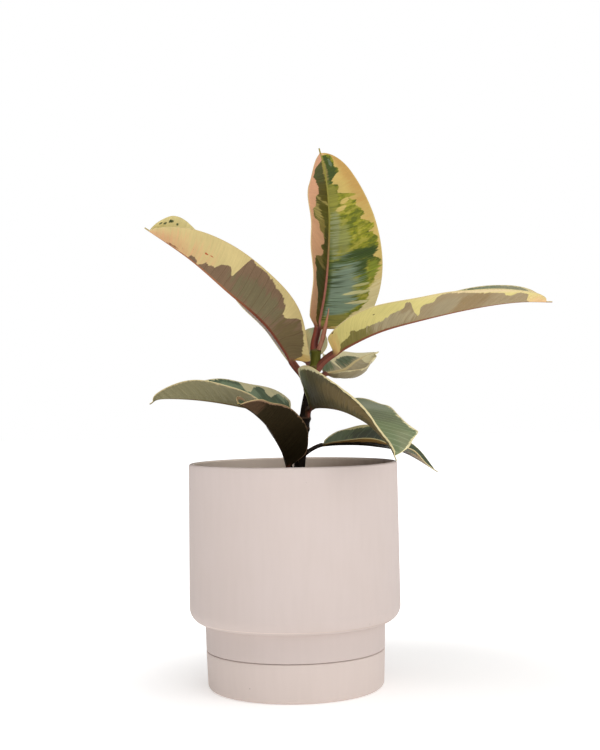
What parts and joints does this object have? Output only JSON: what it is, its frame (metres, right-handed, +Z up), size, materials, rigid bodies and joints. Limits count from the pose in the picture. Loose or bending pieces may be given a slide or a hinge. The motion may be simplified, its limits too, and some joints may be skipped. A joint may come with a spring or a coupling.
{
  "type": "potted variegated rubber plant",
  "caption": "Potted rubber plant with variegated oblong leaves on a leaning stem, in a round stepped ceramic planter that stands in its matching saucer.",
  "frame": {"origin": "centre of the saucer's flat underside, on the surface that the plant stands on", "axes": "+Z up; -Y is the side seen in the picture; +X to the right of that view"},
  "size_m": [0.3123, 0.2272, 0.4114],
  "materials": {
    "saucer_ceramic": "matte",
    "pot_ceramic": "matte",
    "potting_soil": "crumbly, matte",
    "stem_bark": "matte, ringed",
    "leaf_1_low_front": "waxy satin leaf, variegated",
    "leaf_2_low_right": "waxy satin leaf, variegated",
    "leaf_3_low_left": "waxy satin leaf, variegated",
    "leaf_4_front_right": "waxy satin leaf, variegated",
    "leaf_5_upper_left": "waxy satin leaf, variegated",
    "leaf_6_back_right": "waxy satin leaf, variegated",
    "leaf_7_back": "waxy satin leaf, variegated",
    "leaf_8_upper_right": "waxy satin leaf, variegated",
    "leaf_9_upright": "waxy satin leaf, variegated",
    "sheath_skin": "satin"
  },
  "bodies": {
    "root": {"saucer": "saucer_ceramic", "pot": "pot_ceramic", "soil": "potting_soil", "stem": "stem_bark", "leaf_1_low_front": "leaf_1_low_front", "leaf_2_low_right": "leaf_2_low_right", "leaf_3_low_left": "leaf_3_low_left", "leaf_4_front_right": "leaf_4_front_right", "leaf_5_upper_left": "leaf_5_upper_left", "leaf_6_back_right": "leaf_6_back_right", "leaf_7_back": "leaf_7_back", "leaf_8_upper_right": "leaf_8_upper_right", "leaf_9_upright": "leaf_9_upright", "bud_sheath": "sheath_skin"}
  },
  "joints": []
}
